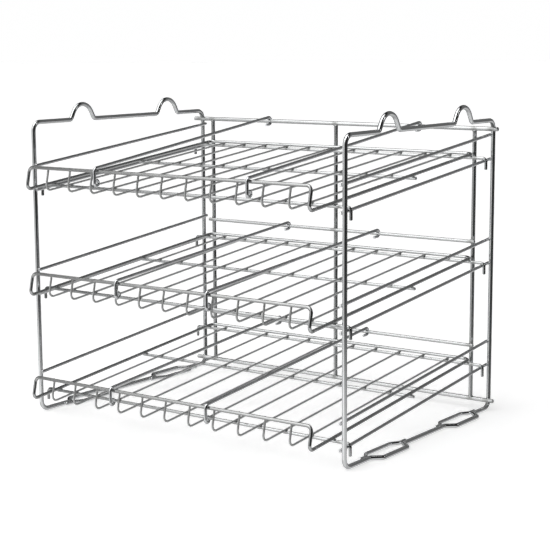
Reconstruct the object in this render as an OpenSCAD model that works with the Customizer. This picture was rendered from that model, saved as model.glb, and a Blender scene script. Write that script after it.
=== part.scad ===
// Three-tier can rack in chrome-plated steel wire.
// Two side frames and a back panel carry three shelves that slope down to the front.
// The front of the rack faces -Y and the floor is Z = 0.

/* [Rack] */
// Distance between the centre lines of the two side frames
frame_spacing = 426; // [380:2:480]
// Distance between the front and rear uprights of a side frame
frame_depth = 310; // [280:2:340]
// Height of the top rail of a side frame
frame_height = 340; // [330:2:360]
// Thickness of the side frame wire
frame_wire = 5.2; // [4.8:0.2:5.6]
// Bend radius at the corners of a side frame
corner_radius = 10; // [8:1:14]

/* [Slope and levels] */
// Height from one shelf to the next
level_pitch = 121; // [116:1:126]
// Rise of the rails from the front uprights to the rear ones
rail_rise = 32; // [26:1:36]
// Height of the lowest shelf rail at the front upright
low_rail_z = 21; // [20:0.5:24]
// Height of a guard rail above its shelf rail
guard_gap = 28; // [24:1:32]
// Thickness of the guard rails and shelf rails
rail_wire = 3.6; // [3.2:0.2:4]

/* [Stacking loops] */
// Distance of the front loop from the front upright
front_loop_y = 82; // [78:1:86]
// Distance between the front loop and the rear loop
loop_pitch = 156; // [150:1:160]
// Half the width of a loop at its foot
loop_half_width = 20; // [19:0.5:22]
// Radius of the round top of a loop
loop_radius = 17; // [16:0.5:17.5]
// How far each eye in the bottom rail opens to either side
eye_half_width = 11; // [10:0.5:13]
// Half the length of the straight sides of an eye
eye_half_flat = 24; // [22:1:28]
// Length of the slanted ends of an eye
eye_slant = 10; // [8:1:12]
// Half the length of an inner eye wire, tails and all
eye_half_length = 46; // [44:1:50]
// Thickness of the inner eye wires
eye_wire = 4.2; // [3.8:0.2:4.6]

/* [Shelves] */
// Half the width of a shelf rim
rim_half_width = 192.6; // [180:0.2:196]
// How far the shelf lip stands in front of the front uprights
lip_reach = 28; // [24:1:34]
// Height of the lip wire above the foot of the rim
lip_height = 25; // [22:1:28]
// How far the foot of the rim stands in front of the lip wire
lip_lean = 5.5; // [0:0.5:5.5]
// Thickness of the rim wire
rim_wire = 3.8; // [3.4:0.2:4.2]
// Thickness of the cross wires under a shelf
cross_wire = 3.6; // [3.2:0.2:4]
// Thickness of the slats
slat_wire = 2.4; // [2:0.1:2.8]
// Number of slats in a shelf
slat_count = 11; // [9:2:13]
// Distance between slats
slat_pitch = 33.2; // [26:0.2:34]
// Length of the hooks that hang over the shelf rails
hook_drop = 13; // [11:1:15]

/* [Back panel] */
// Thickness of the back panel's top and bottom rails and uprights
panel_wire = 5; // [4.6:0.2:5.4]
// Half the length of the top and bottom rails
panel_half_width = 222; // [219:1:228]
// Height of the top rail
panel_top_z = 330; // [326:1:332]
// Height of the bottom rail
panel_bottom_z = 11.4; // [10.6:0.2:14]
// Thickness of the two rails that the lower dividers hang on
divider_rail_wire = 4; // [3.6:0.2:4.4]
// Height of the rail for the bottom dividers
low_divider_rail_z = 76; // [73:1:79]
// Height of the rail for the middle dividers
middle_divider_rail_z = 199; // [196:1:202]

/* [Dividers] */
// Thickness of the divider wire
divider_wire = 3.6; // [3.2:0.2:3.8]
// Place of the left top divider at the lip
top_left_x = -90; // [-95:0.5:-71]
// How far the rear end of the left top divider lies to the right of its front end
top_left_shift = -12; // [-15:0.5:15]
// Place of the right top divider at the lip
top_right_x = 117; // [104:0.5:128]
// How far the rear end of the right top divider lies to the right of its front end
top_right_shift = 0.5; // [-15:0.5:15]
// Place of the left middle divider at the lip
middle_left_x = -62.8; // [-62.8:0.2:-37]
// How far the rear end of the left middle divider lies to the right of its front end
middle_left_shift = -7; // [-15:0.5:15]
// Place of the right middle divider at the lip
middle_right_x = 62.8; // [37:0.2:62.8]
// How far the rear end of the right middle divider lies to the right of its front end
middle_right_shift = 0; // [-15:0.5:15]
// Place of the left bottom divider at the lip
bottom_left_x = -74; // [-95:0.5:-71]
// How far the rear end of the left bottom divider lies to the right of its front end
bottom_left_shift = -10; // [-15:0.5:15]
// Place of the right bottom divider at the lip
bottom_right_x = 60; // [37:0.5:62.5]
// How far the rear end of the right bottom divider lies to the right of its front end
bottom_right_shift = -12; // [-15:0.5:15]

/* [Hidden] */
$fn = 24;

// The three levels, counted from the floor
BOTTOM = 0;
MIDDLE = 1;
TOP = 2;
LEFT = -1;
RIGHT = 1;

chrome = [0.80, 0.82, 0.83];
chrome_dark = [0.62, 0.64, 0.66];
chrome_light = [0.90, 0.91, 0.92];

// Welded wires sink into each other by this much, and wires that only rest stay this far apart
weld_sink = 0.15;
rest_gap = 0.06;
// Room between a divider and the wires that it slides along
slide_gap = 0.3;
// Wire swells a little where it is bent, and a straight runs this far into the bend beside it
bend_swell = 0.02;
bend_lap = 0.2;

// Front curl of a divider, measured from the middle of the lip wire
curl_reach = 4.6;
curl_radius = 3;
curl_drop = 12.5;
curl_turn = 275;
nose_radius = 4.4;
// Rear hook of a divider
tail_length = 7;

// The whole rack, from the front of the curls to the back of the rear uprights, is centred on Y = 0
front_overhang = lip_reach + curl_reach + divider_wire / 2;
front_y = (front_overhang - frame_depth - frame_wire / 2) / 2;
rear_y = front_y + frame_depth;
frame_x = frame_spacing / 2;
slope = atan(rail_rise / frame_depth);

// Rails are welded to the inner sides of the uprights and end just short of their outer faces
rail_end_inset = 0.6;
rail_x = frame_x - frame_wire / 2 - rail_wire / 2 + weld_sink;
rail_overrun = frame_wire / 2 - rail_end_inset;

// Offsets square to the slope, above the middle of a shelf rail
cross_rise = rail_wire / 2 + cross_wire / 2 + rest_gap;
rim_rise = cross_rise + cross_wire / 2 + rim_wire / 2 - weld_sink;
slat_rise = cross_rise + cross_wire / 2 + slat_wire / 2 - weld_sink;

// Stations of the shelf along Y. A slat ends a little behind the rear cross wire.
front_cross_inset = 11.5;
middle_cross_inset = 165;
rear_cross_inset = 16;
slat_overrun = 3.8;
lip_y = front_y - lip_reach;
foot_y = lip_y - lip_lean;
front_cross_y = front_y + front_cross_inset;
middle_cross_y = front_y + middle_cross_inset;
rear_cross_y = rear_y - rear_cross_inset;
slat_end_y = rear_cross_y + slat_overrun;
lip_corner_radius = 6;
foot_radius = 5;
rim_rear_radius = 8;
slat_bend_radius = 6;
middle_cross_overrun = 4.5;

// The front of a slat leans as the front of the rim does. It is welded to the inner side of the lip
// wire and its top ends just below the top of that wire.
lean = atan(lip_lean / lip_height);
slat_offset = rim_wire / 2 + slat_wire / 2 - weld_sink;
slat_top_inset = 0.4;

// Hooks of the cross wires hang just outside the shelf rails
hook_x = rail_x + rail_wire / 2 + cross_wire / 2 + slide_gap;
hook_radius = 4;

// The back panel stands against the inner sides of the rear uprights
panel_y = rear_y - frame_wire / 2 - panel_wire / 2 + weld_sink;
panel_upright_x = 191.7;
divider_rail_overrun = 2.3;
divider_rail_y = panel_y - panel_wire / 2 - divider_rail_wire / 2 + weld_sink;
divider_rail_half_width = panel_upright_x + panel_wire / 2 + divider_rail_overrun;
rim_rear_y = panel_y - panel_wire / 2 - rim_wire / 2 - rest_gap;

// Stacking loops and eyes
loop_leg_angle = 60;
loop_foot_radius = 4;
eye_bend_radius = 5;
eye_foot = eye_half_flat + eye_slant;

// Height of a point on the slope of a level, at a station y and an offset square to the slope
function slope_z(level, y, rise) =
    low_rail_z + level * level_pitch + (y - front_y) * tan(slope) + rise / cos(slope);
function lip_z(level) = slope_z(level, foot_y, rim_rise) + lip_height;
function unit(v) = v / norm(v);
function angle_between(u, v) = acos(max(-1, min(1, u * v)));
function slat_x(i) = (i - (slat_count - 1) / 2) * slat_pitch;

// Height and thickness of the rail that the dividers of a level hang on
function hang_z(level) = [low_divider_rail_z, middle_divider_rail_z, panel_top_z][level];
function hang_y(level) = [divider_rail_y, divider_rail_y, panel_y][level];
function hang_wire(level) = [divider_rail_wire, divider_rail_wire, panel_wire][level];

// Directions into and out of corner i of a run of points, the angle between them, and the length
// that a bend of radius r[i] takes from the straights beside it
function before(p, i) = unit(p[i] - p[(i + len(p) - 1) % len(p)]);
function after(p, i) = unit(p[(i + 1) % len(p)] - p[i]);
function turn_at(p, i) = angle_between(before(p, i), after(p, i));
function trim_at(p, r, i) = r[i] == 0 ? 0 : r[i] * tan(turn_at(p, i) / 2) - bend_lap;

// Straight round wire from a to b. side is any direction square to it: the wire's facets line up with it.
module rod(a, b, thickness, side) {
    u = unit(b - a);
    w = cross(u, side);
    multmatrix([
        [side.x, w.x, u.x, a.x],
        [side.y, w.y, u.y, a.y],
        [side.z, w.z, u.z, a.z],
        [0, 0, 0, 1],
    ])
        cylinder(h = norm(b - a), d = thickness);
}

// Part of a hoop in the YZ plane, from angle start through sweep
module hoop(centre, radius, start, sweep, thickness) {
    translate([0, centre[0], centre[1]])
        rotate([90, 0, 90])
            rotate([0, 0, start])
                rotate_extrude(angle = sweep)
                    translate([radius, 0])
                        circle(d = thickness);
}

// Round bend at corner p, from direction u to direction v
module bend(p, u, v, radius, thickness) {
    turn = angle_between(u, v);
    axis = unit(cross(u, v));
    inward = cross(axis, u);
    centre = p - u * radius * tan(turn / 2) + inward * radius;
    multmatrix([
        [-inward.x, u.x, axis.x, centre.x],
        [-inward.y, u.y, axis.y, centre.y],
        [-inward.z, u.z, axis.z, centre.z],
        [0, 0, 0, 1],
    ])
        rotate_extrude(angle = turn)
            translate([radius, 0])
                circle(d = thickness);
}

// One wire bent at every inner corner of a run of points, or at all of them when closed
module bent_wire(p, r, thickness, closed = false) {
    n = len(p);
    last = closed ? n - 1 : n - 2;
    union() {
        for (i = [0:last]) {
            j = (i + 1) % n;
            u = unit(p[j] - p[i]);
            start = p[i] + u * trim_at(p, r, i);
            end = p[j] - u * trim_at(p, r, j);
            corner = r[i] > 0 ? i : j;
            side = unit(cross(before(p, corner), after(p, corner)));
            rod(start, end, thickness - 2 * bend_swell, side);
        }
        for (i = [closed ? 0 : 1:last])
            if (r[i] > 0)
                bend(p[i], before(p, i), after(p, i), r[i], thickness);
    }
}

// Side frame: one closed wire with two stacking loops on top and two half eyes in the bottom rail
module frame_loop(side) {
    x = side * frame_x;
    out = side * (frame_x + eye_half_width);
    floor_z = frame_wire / 2;
    loop_peak = loop_half_width * tan(loop_leg_angle);
    loops = [front_loop_y, front_loop_y + loop_pitch];
    top = [
        for (c = loops)
            for (q = [[-loop_half_width, 0, loop_foot_radius], [0, loop_peak, loop_radius],
                      [loop_half_width, 0, loop_foot_radius]])
                [x, front_y + c + q[0], frame_height + q[1], q[2]]
    ];
    bottom = [
        for (c = [loops[1], loops[0]])
            for (q = [[eye_foot, x], [eye_half_flat, out], [-eye_half_flat, out], [-eye_foot, x]])
                [q[1], front_y + c + q[0], floor_z, eye_bend_radius]
    ];
    run = concat(
        [[x, front_y, floor_z, corner_radius], [x, front_y, frame_height, corner_radius]],
        top,
        [[x, rear_y, frame_height, corner_radius], [x, rear_y, floor_z, corner_radius]],
        bottom
    );
    color(chrome)
        bent_wire([for (q = run) [q[0], q[1], q[2]]], [for (q = run) q[3]], frame_wire, closed = true);
}

// Inner halves of the two eyes, each a short wire welded beside the bottom rail
module frame_eyes(side) {
    beside = side * (frame_x - frame_wire / 2 - eye_wire / 2 + weld_sink);
    inner = side * (frame_x - eye_half_width);
    for (c = [front_loop_y, front_loop_y + loop_pitch])
        color(chrome)
            bent_wire(
                [for (q = [[-eye_half_length, beside], [-eye_foot, beside], [-eye_half_flat, inner],
                           [eye_half_flat, inner], [eye_foot, beside], [eye_half_length, beside]])
                    [q[1], front_y + c + q[0], frame_wire / 2]],
                [0, eye_bend_radius, eye_bend_radius, eye_bend_radius, eye_bend_radius, 0], eye_wire);
}

// Straight sloping rail on the inner side of a frame
module sloping_rail(side, level, above) {
    start = front_y - rail_overrun;
    end = rear_y + rail_overrun;
    color(chrome_dark)
        rod([side * rail_x, start, slope_z(level, start, 0) + above],
            [side * rail_x, end, slope_z(level, end, 0) + above], rail_wire, [1, 0, 0]);
}

module guard_rail(side, level) {
    sloping_rail(side, level, guard_gap);
}

module shelf_rail(side, level) {
    sloping_rail(side, level, 0);
}

// Closed rim of a shelf: its sides follow the slope and its front rises into the lip
module shelf_rim(level) {
    w = rim_half_width;
    foot_z = slope_z(level, foot_y, rim_rise);
    rear_z = slope_z(level, rim_rear_y, rim_rise);
    color(chrome_light)
        bent_wire(
            [[-w, rim_rear_y, rear_z], [-w, foot_y, foot_z], [-w, lip_y, lip_z(level)],
             [w, lip_y, lip_z(level)], [w, foot_y, foot_z], [w, rim_rear_y, rear_z]],
            [rim_rear_radius, foot_radius, lip_corner_radius,
             lip_corner_radius, foot_radius, rim_rear_radius],
            rim_wire, closed = true);
}

// Slats, each down the inside of the lip and back along the slope
module shelf_slats(level) {
    up = [sin(lean), cos(lean)];
    weld = [lip_y, lip_z(level)] + slat_offset * [up[1], -up[0]];
    top = weld + up * (rim_wire / 2 - slat_top_inset);
    height = (weld[1] - slope_z(level, weld[0], slat_rise)) / (up[1] - up[0] * tan(slope));
    foot = weld - up * height;
    for (i = [0:slat_count - 1])
        color(chrome_light)
            bent_wire(
                [[slat_x(i), top[0], top[1]], [slat_x(i), foot[0], foot[1]],
                 [slat_x(i), slat_end_y, slope_z(level, slat_end_y, slat_rise)]],
                [0, slat_bend_radius, 0], slat_wire);
}

// Cross wire that hooks over both shelf rails
module hooked_cross(level, y) {
    z = slope_z(level, y, cross_rise);
    color(chrome_dark)
        bent_wire(
            [[-hook_x, y, z - hook_drop], [-hook_x, y, z], [hook_x, y, z], [hook_x, y, z - hook_drop]],
            [0, hook_radius, hook_radius, 0], cross_wire);
}

// Cross wire that ends just past the rim
module plain_cross(level, y) {
    z = slope_z(level, y, cross_rise);
    x = rim_half_width + middle_cross_overrun;
    color(chrome_dark)
        rod([-x, y, z], [x, y, z], cross_wire, [0, 0, 1]);
}

// Level wire of the back panel
module panel_rail(z, y, half_width, thickness) {
    color(chrome)
        rod([-half_width, y, z], [half_width, y, z], thickness, [0, 0, 1]);
}

// Upright of the back panel, butt-welded between its top and bottom rails
module panel_upright(x) {
    inset = panel_wire / 2 - weld_sink;
    color(chrome)
        rod([x, panel_y, panel_bottom_z + inset], [x, panel_y, panel_top_z - inset], panel_wire, [1, 0, 0]);
}

// Divider: rests on the lip, curls under it in front, and hooks over a rail at the back.
// shift is how far its rear end lies to the right of its front end.
module divider(level, x, shift) {
    reach = hang_y(level) - lip_y;
    length = norm([reach, shift]);
    rest = rim_wire / 2 + divider_wire / 2 + slide_gap;
    wrap = hang_wire(level) / 2 + divider_wire / 2 + slide_gap;
    drop = hang_z(level) - lip_z(level);
    // The rod is tangent to the circles round the lip wire and the rear rail
    tilt = atan(drop / length) + asin((wrap - rest) / norm([length, drop]));
    square = [-sin(tilt), cos(tilt)];
    nose = [-curl_reach, (rest - curl_reach * sin(tilt)) / cos(tilt)];
    heel = [length, drop] + wrap * square;
    color(chrome_light)
        translate([x, lip_y, lip_z(level)])
            rotate([0, 0, -atan(shift / reach)]) {
                hoop([-curl_reach + curl_radius, -curl_drop], curl_radius, 180, curl_turn, divider_wire);
                bent_wire(
                    [[0, -curl_reach, -curl_drop - bend_lap], [0, nose[0], nose[1]],
                     [0, heel[0] + bend_lap * cos(tilt), heel[1] + bend_lap * sin(tilt)]],
                    [0, nose_radius, 0], divider_wire);
                hoop([length, drop], wrap, -90, 180 + tilt, divider_wire);
                rod([0, length - tail_length, drop - wrap], [0, length + bend_lap, drop - wrap],
                    divider_wire - 2 * bend_swell, [1, 0, 0]);
            }
}

module left_frame_loop() frame_loop(LEFT);
module left_frame_eyes() frame_eyes(LEFT);
module left_top_guard_rail() guard_rail(LEFT, TOP);
module left_middle_guard_rail() guard_rail(LEFT, MIDDLE);
module left_bottom_guard_rail() guard_rail(LEFT, BOTTOM);
module left_top_shelf_rail() shelf_rail(LEFT, TOP);
module left_middle_shelf_rail() shelf_rail(LEFT, MIDDLE);
module left_bottom_shelf_rail() shelf_rail(LEFT, BOTTOM);
module right_frame_loop() frame_loop(RIGHT);
module right_frame_eyes() frame_eyes(RIGHT);
module right_top_guard_rail() guard_rail(RIGHT, TOP);
module right_middle_guard_rail() guard_rail(RIGHT, MIDDLE);
module right_bottom_guard_rail() guard_rail(RIGHT, BOTTOM);
module right_top_shelf_rail() shelf_rail(RIGHT, TOP);
module right_middle_shelf_rail() shelf_rail(RIGHT, MIDDLE);
module right_bottom_shelf_rail() shelf_rail(RIGHT, BOTTOM);
module top_shelf_rim() shelf_rim(TOP);
module top_shelf_slats() shelf_slats(TOP);
module top_shelf_front_cross() hooked_cross(TOP, front_cross_y);
module top_shelf_middle_cross() plain_cross(TOP, middle_cross_y);
module top_shelf_rear_cross() hooked_cross(TOP, rear_cross_y);
module middle_shelf_rim() shelf_rim(MIDDLE);
module middle_shelf_slats() shelf_slats(MIDDLE);
module middle_shelf_front_cross() hooked_cross(MIDDLE, front_cross_y);
module middle_shelf_middle_cross() plain_cross(MIDDLE, middle_cross_y);
module middle_shelf_rear_cross() hooked_cross(MIDDLE, rear_cross_y);
module bottom_shelf_rim() shelf_rim(BOTTOM);
module bottom_shelf_slats() shelf_slats(BOTTOM);
module bottom_shelf_front_cross() hooked_cross(BOTTOM, front_cross_y);
module bottom_shelf_middle_cross() plain_cross(BOTTOM, middle_cross_y);
module bottom_shelf_rear_cross() hooked_cross(BOTTOM, rear_cross_y);
module back_top_rail() panel_rail(panel_top_z, panel_y, panel_half_width, panel_wire);
module back_bottom_rail() panel_rail(panel_bottom_z, panel_y, panel_half_width, panel_wire);
module back_left_upright() panel_upright(-panel_upright_x);
module back_middle_upright() panel_upright(0);
module back_right_upright() panel_upright(panel_upright_x);
module back_middle_divider_rail()
    panel_rail(middle_divider_rail_z, divider_rail_y, divider_rail_half_width, divider_rail_wire);
module back_bottom_divider_rail()
    panel_rail(low_divider_rail_z, divider_rail_y, divider_rail_half_width, divider_rail_wire);
module top_left_divider() divider(TOP, top_left_x, top_left_shift);
module top_right_divider() divider(TOP, top_right_x, top_right_shift);
module middle_left_divider() divider(MIDDLE, middle_left_x, middle_left_shift);
module middle_right_divider() divider(MIDDLE, middle_right_x, middle_right_shift);
module bottom_left_divider() divider(BOTTOM, bottom_left_x, bottom_left_shift);
module bottom_right_divider() divider(BOTTOM, bottom_right_x, bottom_right_shift);

left_frame_loop();
left_frame_eyes();
left_top_guard_rail();
left_middle_guard_rail();
left_bottom_guard_rail();
left_top_shelf_rail();
left_middle_shelf_rail();
left_bottom_shelf_rail();
right_frame_loop();
right_frame_eyes();
right_top_guard_rail();
right_middle_guard_rail();
right_bottom_guard_rail();
right_top_shelf_rail();
right_middle_shelf_rail();
right_bottom_shelf_rail();
top_shelf_rim();
top_shelf_slats();
top_shelf_front_cross();
top_shelf_middle_cross();
top_shelf_rear_cross();
middle_shelf_rim();
middle_shelf_slats();
middle_shelf_front_cross();
middle_shelf_middle_cross();
middle_shelf_rear_cross();
bottom_shelf_rim();
bottom_shelf_slats();
bottom_shelf_front_cross();
bottom_shelf_middle_cross();
bottom_shelf_rear_cross();
back_top_rail();
back_bottom_rail();
back_left_upright();
back_middle_upright();
back_right_upright();
back_middle_divider_rail();
back_bottom_divider_rail();
top_left_divider();
top_right_divider();
middle_left_divider();
middle_right_divider();
bottom_left_divider();
bottom_right_divider();
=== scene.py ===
"""Three-tier wire can rack, built wire by wire round its packed frame.

Every wire is drawn the way it is bent: a ring of wire section is extruded along the straights and
spun round the bends. Weld beads sit where wires meet, and the chrome is dulled beside them.
Lengths are in metres. The front of the rack faces -Y and the floor is Z = 0.
"""

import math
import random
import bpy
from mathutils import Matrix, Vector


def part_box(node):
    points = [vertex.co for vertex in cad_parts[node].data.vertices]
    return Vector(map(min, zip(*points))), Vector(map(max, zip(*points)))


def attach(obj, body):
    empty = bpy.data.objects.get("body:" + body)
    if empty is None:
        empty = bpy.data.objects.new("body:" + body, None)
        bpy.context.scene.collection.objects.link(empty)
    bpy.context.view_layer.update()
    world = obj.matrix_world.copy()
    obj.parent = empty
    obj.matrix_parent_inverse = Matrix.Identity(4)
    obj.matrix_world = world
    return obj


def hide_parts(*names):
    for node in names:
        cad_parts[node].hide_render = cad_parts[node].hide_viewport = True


bl_info = {
    "name": "Wire Can Rack",
    "version": (1, 0, 0),
    "blender": (4, 5, 0),
    "location": "3D View > Sidebar > Can Rack",
    "description": "Builds a chrome wire can rack with sloping shelves round its packed frame",
    "category": "Add Mesh",
}

import bpy
from bpy.props import FloatProperty, FloatVectorProperty, IntProperty, PointerProperty
from mathutils import Matrix, Vector

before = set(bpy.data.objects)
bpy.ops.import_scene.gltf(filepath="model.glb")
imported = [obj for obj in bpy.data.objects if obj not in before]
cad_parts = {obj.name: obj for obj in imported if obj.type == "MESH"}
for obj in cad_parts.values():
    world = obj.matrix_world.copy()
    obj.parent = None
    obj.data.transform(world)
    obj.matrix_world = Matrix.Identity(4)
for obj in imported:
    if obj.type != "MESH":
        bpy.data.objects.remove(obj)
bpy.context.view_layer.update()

ROOT = "rack"
LEVELS = ("bottom", "middle", "top")
SIDES = {"left": -1, "right": 1}
CROSSES = ("front", "middle", "rear")

X = Vector((1, 0, 0))
Y = Vector((0, 1, 0))
Z = Vector((0, 0, 1))

# Welded wires sink into each other by this much
WELD_SINK = 0.00015
# One face of a bend for each of these angles
BEND_STEP = math.radians(9)
# Cut wire ends are rounded off over this part of the wire's thickness
TIP = 0.14
# Edges of a wire that are flatter than this look round
SMOOTH_ANGLE = math.radians(40)

# A weld bead's rim is squeezed out by this factor, and each of its radii varies by one between these
BEAD_RIM = 1.12
BEAD_SPREAD = (0.9, 1.12)

# Features to the metre in the chrome: slow unevenness, drawing lines and specks
CLOUD_SCALE = 55
LINE_SCALE = 2600
SPECK_SCALE = 1400
# Noise above this level is a speck, and its edge is this steep
SPECK_LEVEL = 0.66
SPECK_EDGE = 9
# Scale of the drawing lines along the wire: a small one pulls them out
LINE_STRETCH = 0.04
BUMP_DEPTH = 0.00012
BUMP_STRENGTH = 0.12
LUMP_STRENGTH = 0.3
LINE_HEIGHT = 0.35
SPECK_HEIGHT = -0.5
# How far each pulls the colour towards the dull one, and how much it adds to the roughness
CLOUD_TONE, CLOUD_ROUGHNESS = 0.25, 0.07
SPECK_TONE, SPECK_ROUGHNESS = 0.5, 0.25
WELD_TONE, WELD_ROUGHNESS = 0.6, 0.16
LINE_ROUGHNESS = 0.05

# The floor's paper: fibres to the metre and how much darker they are
FIBRE_SCALE = 350
FIBRE_TONE = 0.04
# The backdrop's radius as a part of the floor's
DOME_SHARE = 0.98
# Brightness of the parts of the studio that the chrome reflects
AMBIENT = 0.02
PANEL_LIGHT = 1.25
FLOOR_LIGHT = 0.44
FLOOR_LIGHT_UNDER_PANEL = 0.26
REAR_WALL_LIGHT = 0.12
# Part of the panel's light that is missing straight in front of the rack
FRONT_DIMMING = 0.6


# ---------------------------------------------------------------- settings


class FrameSettings(bpy.types.PropertyGroup):
    """Side frames and their rails."""

    wire: FloatProperty(
        name="Frame wire", description="Thickness of the side frame wire", default=0.0052, unit="LENGTH")
    eye_wire: FloatProperty(
        name="Eye wire", description="Thickness of the inner eye wires", default=0.0042, unit="LENGTH")
    rail_wire: FloatProperty(
        name="Rail wire", description="Thickness of the guard and shelf rails",
        default=0.0036, unit="LENGTH")
    corner_radius: FloatProperty(
        name="Corner radius", description="Bend radius at the frame corners", default=0.010, unit="LENGTH")
    loop_half_width: FloatProperty(
        name="Loop half width", description="Half the width of a stacking loop at its foot",
        default=0.020, unit="LENGTH")
    loop_radius: FloatProperty(
        name="Loop radius", description="Radius of the round top of a stacking loop",
        default=0.017, unit="LENGTH")
    loop_foot_radius: FloatProperty(
        name="Loop foot radius", description="Bend radius at the foot of a loop",
        default=0.004, unit="LENGTH")
    loop_leg_angle: FloatProperty(
        name="Loop leg angle", description="Slant of the legs of a loop",
        default=math.radians(60), subtype="ANGLE")
    eye_half_length: FloatProperty(
        name="Eye half length", description="Half the length of an inner eye wire, tails and all",
        default=0.046, unit="LENGTH")
    eye_half_flat: FloatProperty(
        name="Eye half flat", description="Half the length of the straight sides of an eye",
        default=0.024, unit="LENGTH")
    eye_slant: FloatProperty(
        name="Eye slant", description="Length of the slanted ends of an eye", default=0.010, unit="LENGTH")
    eye_bend_radius: FloatProperty(
        name="Eye bend radius", description="Bend radius in the eyes", default=0.005, unit="LENGTH")


class ShelfSettings(bpy.types.PropertyGroup):
    """Rims, slats and cross wires."""

    rim_wire: FloatProperty(
        name="Rim wire", description="Thickness of the rim wire", default=0.0038, unit="LENGTH")
    lip_height: FloatProperty(
        name="Lip height", description="Height of the lip above the foot of the rim",
        default=0.025, unit="LENGTH")
    lip_lean: FloatProperty(
        name="Lip lean", description="How far the foot of the rim stands in front of the lip",
        default=0.0055, unit="LENGTH")
    rim_rear_radius: FloatProperty(
        name="Rear radius", description="Bend radius at the rear of the rim", default=0.008, unit="LENGTH")
    foot_radius: FloatProperty(
        name="Foot radius", description="Bend radius at the foot of the lip", default=0.005, unit="LENGTH")
    lip_corner_radius: FloatProperty(
        name="Lip corner radius", description="Bend radius at the ends of the lip",
        default=0.006, unit="LENGTH")
    cross_wire: FloatProperty(
        name="Cross wire", description="Thickness of the cross wires", default=0.0036, unit="LENGTH")
    hook_radius: FloatProperty(
        name="Hook radius", description="Bend radius of the hooks", default=0.004, unit="LENGTH")
    slat_wire: FloatProperty(
        name="Slat wire", description="Thickness of the slats", default=0.0024, unit="LENGTH")
    slat_count: IntProperty(name="Slats", description="Number of slats in a shelf", default=11)
    slat_bend_radius: FloatProperty(
        name="Slat bend radius", description="Bend radius at the foot of a slat",
        default=0.006, unit="LENGTH")
    slat_top_inset: FloatProperty(
        name="Slat top inset", description="How far a slat ends below the top of the lip",
        default=0.0004, unit="LENGTH")


class PanelSettings(bpy.types.PropertyGroup):
    """Back panel."""

    wire: FloatProperty(
        name="Panel wire", description="Thickness of the rails and uprights", default=0.005, unit="LENGTH")
    divider_rail_wire: FloatProperty(
        name="Divider rail wire", description="Thickness of the rails that the dividers hang on",
        default=0.004, unit="LENGTH")


class DividerSettings(bpy.types.PropertyGroup):
    """Loose dividers."""

    wire: FloatProperty(
        name="Divider wire", description="Thickness of a divider", default=0.0036, unit="LENGTH")
    gap: FloatProperty(
        name="Gap", description="Room between a divider and the wires that it slides along",
        default=0.0003, unit="LENGTH")
    curl_reach: FloatProperty(
        name="Curl reach", description="How far the curl stands in front of the lip",
        default=0.0046, unit="LENGTH")
    curl_radius: FloatProperty(
        name="Curl radius", description="Radius of the curl", default=0.003, unit="LENGTH")
    curl_drop: FloatProperty(
        name="Curl drop", description="How far the middle of the curl lies below the lip",
        default=0.0125, unit="LENGTH")
    curl_turn: FloatProperty(
        name="Curl turn", description="How far the curl turns",
        default=math.radians(275), subtype="ANGLE")
    nose_radius: FloatProperty(
        name="Nose radius", description="Bend radius over the lip", default=0.0044, unit="LENGTH")
    tail_length: FloatProperty(
        name="Tail length", description="Straight end of the rear hook", default=0.007, unit="LENGTH")


class FinishSettings(bpy.types.PropertyGroup):
    """Chrome plating."""

    chrome: FloatVectorProperty(
        name="Chrome", description="Colour of clean plating", default=(0.60, 0.61, 0.612),
        size=3, min=0, max=1, subtype="COLOR")
    # Painted light: this paler colour brightens the slats, standing in for the light that they catch from
    # the white surroundings. Their higher roughness is real satin plating.
    slat_chrome_painted_light: FloatVectorProperty(
        name="Slat chrome", description="Colour of the paler, satin plating on the slats",
        default=(0.90, 0.91, 0.912), size=3, min=0, max=1, subtype="COLOR")
    chrome_dull: FloatVectorProperty(
        name="Dull chrome", description="Colour of the plating in the corners of a weld",
        default=(0.30, 0.30, 0.29), size=3, min=0, max=1, subtype="COLOR")


class StageSettings(bpy.types.PropertyGroup):
    """Floor, light and camera."""

    floor: FloatVectorProperty(
        name="Floor", description="Colour of the floor", default=(0.9, 0.9, 0.9),
        size=3, min=0, max=1, subtype="COLOR")
    floor_glow: FloatProperty(
        name="Floor glow", description="Light that the floor gives off by itself", default=0.52)
    floor_radius: FloatProperty(
        name="Floor radius", description="Radius of the floor", default=24, unit="LENGTH")
    sun: FloatProperty(name="Sun", description="Strength of the soft overhead light", default=0.9)
    camera_place: FloatVectorProperty(
        name="Camera place", description="Where the camera stands", default=(1.0093, -1.3569, 0.4363),
        size=3, subtype="XYZ", unit="LENGTH")
    camera_azimuth: FloatProperty(
        name="Azimuth", description="Turn of the camera from straight ahead",
        default=math.radians(35.907), subtype="ANGLE")
    camera_elevation: FloatProperty(
        name="Elevation", description="How far the camera looks down",
        default=math.radians(9.158), subtype="ANGLE")
    camera_roll: FloatProperty(
        name="Roll", description="Tilt of the camera about its view",
        default=math.radians(-0.285), subtype="ANGLE")
    camera_lens: FloatProperty(name="Lens", description="Focal length in millimetres", default=97.09)


SETTINGS = {
    "rack_frame": FrameSettings,
    "rack_shelf": ShelfSettings,
    "rack_panel": PanelSettings,
    "rack_divider": DividerSettings,
    "rack_finish": FinishSettings,
    "rack_stage": StageSettings,
}


# ---------------------------------------------------------------- places, read from the frame


def middle(node, axis):
    """The middle of a CAD node along one axis."""
    low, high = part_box(node)
    return (low[axis] + high[axis]) / 2


def rail_slope():
    """Slope of the shelf rails, from the box of one: its round ends reach past its centre line."""
    low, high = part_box("left_top_shelf_rail")
    thickness = bpy.context.scene.rack_frame.rail_wire
    slope = 0.0
    for _ in range(5):
        rise = high.z - low.z - thickness * math.cos(slope)
        run = high.y - low.y - thickness * math.sin(slope)
        slope = math.atan2(rise, run)
    return slope


def along_slope():
    """Direction of the shelf rails, towards the back."""
    slope = rail_slope()
    return Vector((0, math.cos(slope), math.sin(slope)))


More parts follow.
